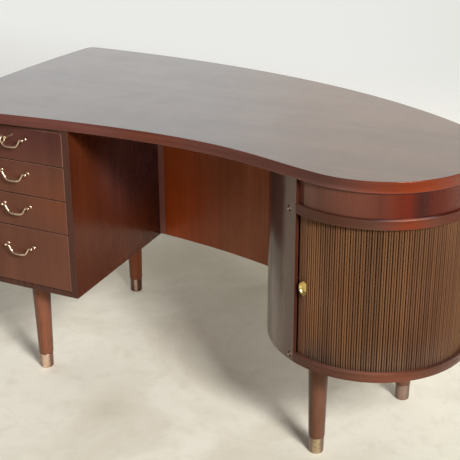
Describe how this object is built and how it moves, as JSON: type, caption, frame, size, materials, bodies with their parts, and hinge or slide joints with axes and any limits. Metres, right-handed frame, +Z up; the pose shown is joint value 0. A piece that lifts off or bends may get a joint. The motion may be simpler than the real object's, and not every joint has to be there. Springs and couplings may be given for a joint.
{
  "type": "kidney shaped desk",
  "caption": "Kidney shaped writing desk with a drawer pedestal on one side and a round tambour cabinet on the other, on turned legs with metal ferrules.",
  "frame": {"origin": "middle of the desk's plan, on the floor", "axes": "+X to the right as the sitter sees the desk, +Y to the back, +Z up"},
  "size_m": [1.336, 0.7238, 0.74],
  "materials": {
    "top_wood": "polished lacquer",
    "case_wood": "satin lacquer",
    "front_wood": "satin lacquer",
    "wall_wood": "polished lacquer",
    "slat_wood": "satin lacquer",
    "leg_wood": "satin lacquer",
    "inside_wood": "plain",
    "pull_brass": "polished",
    "ferrule_brass": "aged"
  },
  "bodies": {
    "desk": {"desk_top": "top_wood", "pedestal_side_left": "case_wood", "pedestal_side_right": "case_wood", "pedestal_bottom": "case_wood", "pedestal_top": "case_wood", "pedestal_back": "case_wood", "drawer_divider_1": "inside_wood", "drawer_divider_2": "inside_wood", "drawer_divider_3": "inside_wood", "modesty_batten": "case_wood", "modesty_panel": "case_wood", "cabinet_bottom": "case_wood", "cabinet_top": "case_wood", "cabinet_wall": "wall_wood", "cabinet_apron": "case_wood", "apron_block_left": "case_wood", "apron_block_right": "case_wood", "cabinet_liner": "inside_wood", "cabinet_shelf": "inside_wood", "shelf_post_left": "inside_wood", "shelf_post_right": "inside_wood", "leg_pedestal_front": "leg_wood", "ferrule_pedestal_front": "ferrule_brass", "leg_pedestal_back": "leg_wood", "ferrule_pedestal_back": "ferrule_brass", "leg_cabinet_front": "leg_wood", "ferrule_cabinet_front": "ferrule_brass", "leg_cabinet_back": "leg_wood", "ferrule_cabinet_back": "ferrule_brass"},
    "drawer_1": {"drawer_1_front": "front_wood", "drawer_1_box": "inside_wood", "drawer_1_floor": "inside_wood", "drawer_1_post_left": "pull_brass", "drawer_1_post_right": "pull_brass", "lock_barrel": "pull_brass"},
    "bail_1": {"drawer_1_bail": "pull_brass"},
    "drawer_2": {"drawer_2_front": "front_wood", "drawer_2_box": "inside_wood", "drawer_2_floor": "inside_wood", "drawer_2_post_left": "pull_brass", "drawer_2_post_right": "pull_brass"},
    "bail_2": {"drawer_2_bail": "pull_brass"},
    "drawer_3": {"drawer_3_front": "front_wood", "drawer_3_box": "inside_wood", "drawer_3_floor": "inside_wood", "drawer_3_post_left": "pull_brass", "drawer_3_post_right": "pull_brass"},
    "bail_3": {"drawer_3_bail": "pull_brass"},
    "drawer_4": {"drawer_4_front": "front_wood", "drawer_4_box": "inside_wood", "drawer_4_floor": "inside_wood", "drawer_4_post_left": "pull_brass", "drawer_4_post_right": "pull_brass"},
    "bail_4": {"drawer_4_bail": "pull_brass"},
    "key": {"key": "pull_brass"},
    "tambour": {"tambour_slats": "slat_wood", "tambour_stile": "slat_wood", "tambour_pull": "pull_brass"}
  },
  "joints": [
    {"name": "drawer_1_slide", "type": "slide", "parent": "desk", "child": "drawer_1", "axis": [0, -1, 0], "range_m": [0, 0.42]},
    {"name": "bail_1_swing", "type": "hinge", "parent": "drawer_1", "child": "bail_1", "pos_m": [-0.45199, -0.2839, 0.67642], "axis": [-1, 0, 0], "range_deg": [-24, 78]},
    {"name": "drawer_2_slide", "type": "slide", "parent": "desk", "child": "drawer_2", "axis": [0, -1, 0], "range_m": [0, 0.42]},
    {"name": "bail_2_swing", "type": "hinge", "parent": "drawer_2", "child": "bail_2", "pos_m": [-0.45199, -0.2839, 0.58742], "axis": [-1, 0, 0], "range_deg": [-24, 85]},
    {"name": "drawer_3_slide", "type": "slide", "parent": "desk", "child": "drawer_3", "axis": [0, -1, 0], "range_m": [0, 0.42]},
    {"name": "bail_3_swing", "type": "hinge", "parent": "drawer_3", "child": "bail_3", "pos_m": [-0.45199, -0.2839, 0.49842], "axis": [-1, 0, 0], "range_deg": [-24, 85]},
    {"name": "drawer_4_slide", "type": "slide", "parent": "desk", "child": "drawer_4", "axis": [0, -1, 0], "range_m": [0, 0.42]},
    {"name": "bail_4_swing", "type": "hinge", "parent": "drawer_4", "child": "bail_4", "pos_m": [-0.45199, -0.2839, 0.38692], "axis": [-1, 0, 0], "range_deg": [-24, 85]},
    {"name": "key_turn", "type": "hinge", "parent": "drawer_1", "child": "key", "pos_m": [-0.45199, -0.2919, 0.6837], "axis": [0, -1, 0], "range_deg": [0, 90]},
    {"name": "tambour_slide", "type": "hinge", "parent": "desk", "child": "tambour", "pos_m": [0.42501, -0.1189, 0.4625], "axis": [0, 0, 1], "range_deg": [0, 146]}
  ]
}
